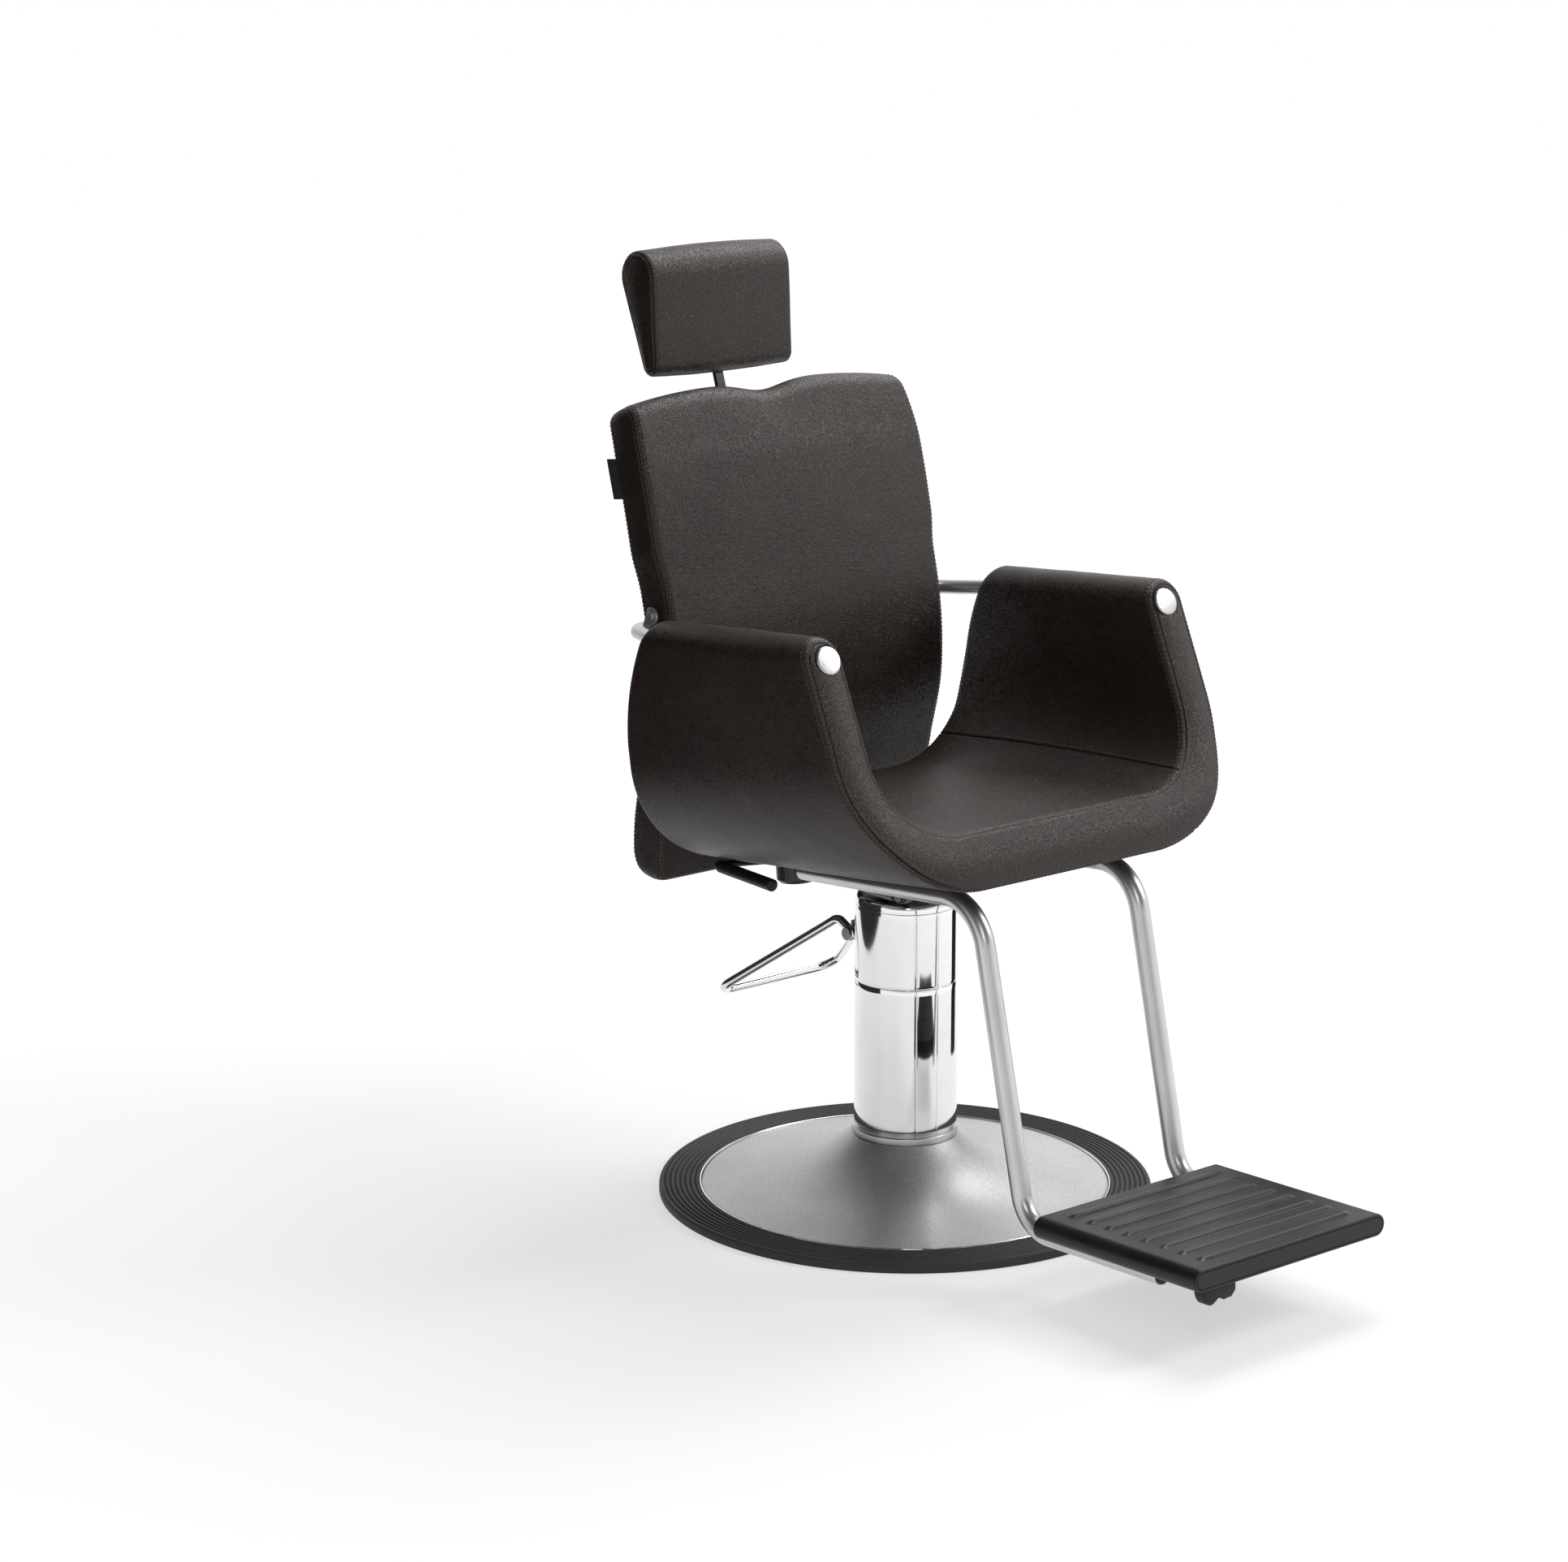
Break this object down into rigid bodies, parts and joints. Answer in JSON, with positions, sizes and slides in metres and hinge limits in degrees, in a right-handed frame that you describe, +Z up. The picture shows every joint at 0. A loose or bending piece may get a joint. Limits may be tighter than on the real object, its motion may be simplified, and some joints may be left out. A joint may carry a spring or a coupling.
{
  "type": "hydraulic barber chair",
  "caption": "Hydraulic barber chair: round floor base, chrome pump column with foot lever, upholstered tub seat, reclining back, sliding headrest and tubular footrest.",
  "frame": {"origin": "on the floor, on the axis of the column", "axes": "+Z up; the chair faces -Y; +X is the sitter's left"},
  "size_m": [0.6, 1.059, 1.1189],
  "materials": {
    "leather": "fine-grained dark brown, double-stitched seams",
    "chrome": "polished",
    "satin": "satin",
    "cover": "satin silver with fine sparkle",
    "rubber": "dark grey, concentric grooves",
    "black_rubber": "matt",
    "charcoal": "fine grain",
    "black_plastic": "fine grain",
    "black_paint": "semi-matt black",
    "steel": "ground",
    "iron": "painted dark grey",
    "cap": "pale satin",
    "zinc": "zinc plated"
  },
  "bodies": {
    "base": {"floor_plate": "iron", "base_cover": "cover", "trim_ring": "chrome", "rubber_ring": "rubber", "foot_band": "satin", "casing_lower": "chrome", "casing_upper": "chrome", "strip_lower": "chrome", "strip_upper": "chrome", "casing_collar": "chrome", "pump_cylinder": "black_paint", "pump_head": "black_paint", "gland_nut": "steel"},
    "pump_lever": {"pump_lever": "chrome", "lever_shaft": "steel", "lever_finger": "steel"},
    "pump_plunger": {"pump_plunger": "steel"},
    "ram": {"ram": "steel", "piston_ring": "black_rubber", "thrust_washer": "zinc"},
    "seat": {"swivel_hub": "black_paint", "seat_plate": "black_paint", "seat_tub": "leather", "arm_cap_right": "cap", "arm_cap_left": "cap", "arm_bow": "chrome", "footrest_tube_right": "satin", "footrest_tube_left": "satin", "tube_plug_rear_right": "black_plastic", "tube_plug_rear_left": "black_plastic", "tube_plug_front_right": "black_plastic", "tube_plug_front_left": "black_plastic", "footrest_plate": "charcoal", "footrest_bumper": "black_rubber", "spring_bracket": "black_paint", "spring_pin": "steel", "release_housing": "black_paint"},
    "back": {"back_pad": "leather", "pivot_screw_right": "zinc", "pivot_screw_left": "zinc", "pivot_bush_right": "black_plastic", "pivot_bush_left": "black_plastic", "tail_bracket": "black_paint", "tail_pin": "steel", "headrest_guide": "black_paint"},
    "headrest": {"headrest_bar": "black_paint", "headrest_pad": "leather"},
    "spring_cylinder": {"spring_cylinder": "black_paint"},
    "spring_rod": {"spring_rod": "steel"},
    "release_lever": {"release_lever": "black_paint", "release_grip": "black_rubber"}
  },
  "joints": [
    {"name": "ram_lift", "type": "slide", "parent": "base", "child": "ram", "axis": [0, 0, 1], "range_m": [0, 0.16]},
    {"name": "seat_swivel", "type": "hinge", "parent": "ram", "child": "seat", "pos_m": [0, 0, 0.4], "axis": [0, 0, 1], "continuous": true},
    {"name": "pump_lever_swing", "type": "hinge", "parent": "base", "child": "pump_lever", "pos_m": [0, 0.074, 0.311], "axis": [1, 0, 0], "range_deg": [-20, 0], "stiffness_Nm_per_rad": 3, "springref_deg": 22.92},
    {"name": "plunger_stroke", "type": "slide", "parent": "base", "child": "pump_plunger", "axis": [0, 0, 1], "range_m": [0, 0.0085]},
    {"name": "back_recline", "type": "hinge", "parent": "seat", "child": "back", "pos_m": [0, 0.2114, 0.7068], "axis": [-1, 0, 0], "range_deg": [0, 10]},
    {"name": "spring_swing", "type": "hinge", "parent": "seat", "child": "spring_cylinder", "pos_m": [-0.07, -0.075, 0.397], "axis": [1, 0, 0], "range_deg": [0, 3.26]},
    {"name": "spring_stroke", "type": "slide", "parent": "spring_cylinder", "child": "spring_rod", "axis": [0, -1, -0.004], "range_m": [0, 0.0538]},
    {"name": "headrest_height", "type": "slide", "parent": "back", "child": "headrest", "axis": [0, 0.3156, 0.9489], "range_m": [-0.03, 0.07]},
    {"name": "release_turn", "type": "hinge", "parent": "seat", "child": "release_lever", "pos_m": [-0.1, 0.05079, 0.41219], "axis": [0, 0.9962, -0.0872], "range_deg": [-7, 0], "stiffness_Nm_per_rad": 1, "springref_deg": 8.59}
  ],
  "couplings": [
    {"joint": "plunger_stroke", "follows": "pump_lever_swing", "m_per_rad": -0.024},
    {"joint": "spring_swing", "follows": "back_recline", "ratio": 0.30638},
    {"joint": "spring_stroke", "follows": "back_recline", "m_per_rad": 0.30245}
  ]
}
